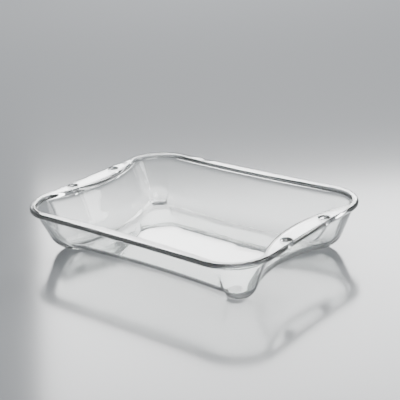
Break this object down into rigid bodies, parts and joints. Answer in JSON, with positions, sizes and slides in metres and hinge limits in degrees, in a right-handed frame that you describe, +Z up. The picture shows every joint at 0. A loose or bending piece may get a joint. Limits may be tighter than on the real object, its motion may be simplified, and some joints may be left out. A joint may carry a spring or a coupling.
{
  "type": "oven dish",
  "caption": "Rectangular oven dish of clear pressed glass: flared, waisted walls, rounded rim, and a flat handle with finger pegs at each end.",
  "frame": {"origin": "centre of the dish, on the plane that the four foot pads stand on", "axes": "+X along the dish from handle to handle, +Y across it, +Z up out of its mouth"},
  "size_m": [0.35, 0.257, 0.06],
  "materials": {
    "clear_glass": "clear fire-polished pressed glass, faint grey-green in its thick edges"
  },
  "bodies": {
    "root": {"floor": "clear_glass", "side_wall_back": "clear_glass", "rim_back": "clear_glass", "corner_wall_back_right": "clear_glass", "rim_corner_back_right": "clear_glass", "foot_pad_back_right": "clear_glass", "grip_peg_back_right": "clear_glass", "corner_wall_back_left": "clear_glass", "rim_corner_back_left": "clear_glass", "foot_pad_back_left": "clear_glass", "grip_peg_back_left": "clear_glass", "side_wall_front": "clear_glass", "rim_front": "clear_glass", "corner_wall_front_right": "clear_glass", "rim_corner_front_right": "clear_glass", "foot_pad_front_right": "clear_glass", "grip_peg_front_right": "clear_glass", "corner_wall_front_left": "clear_glass", "rim_corner_front_left": "clear_glass", "foot_pad_front_left": "clear_glass", "grip_peg_front_left": "clear_glass", "end_wall_right": "clear_glass", "handle_right": "clear_glass", "end_wall_left": "clear_glass", "handle_left": "clear_glass"}
  },
  "joints": []
}
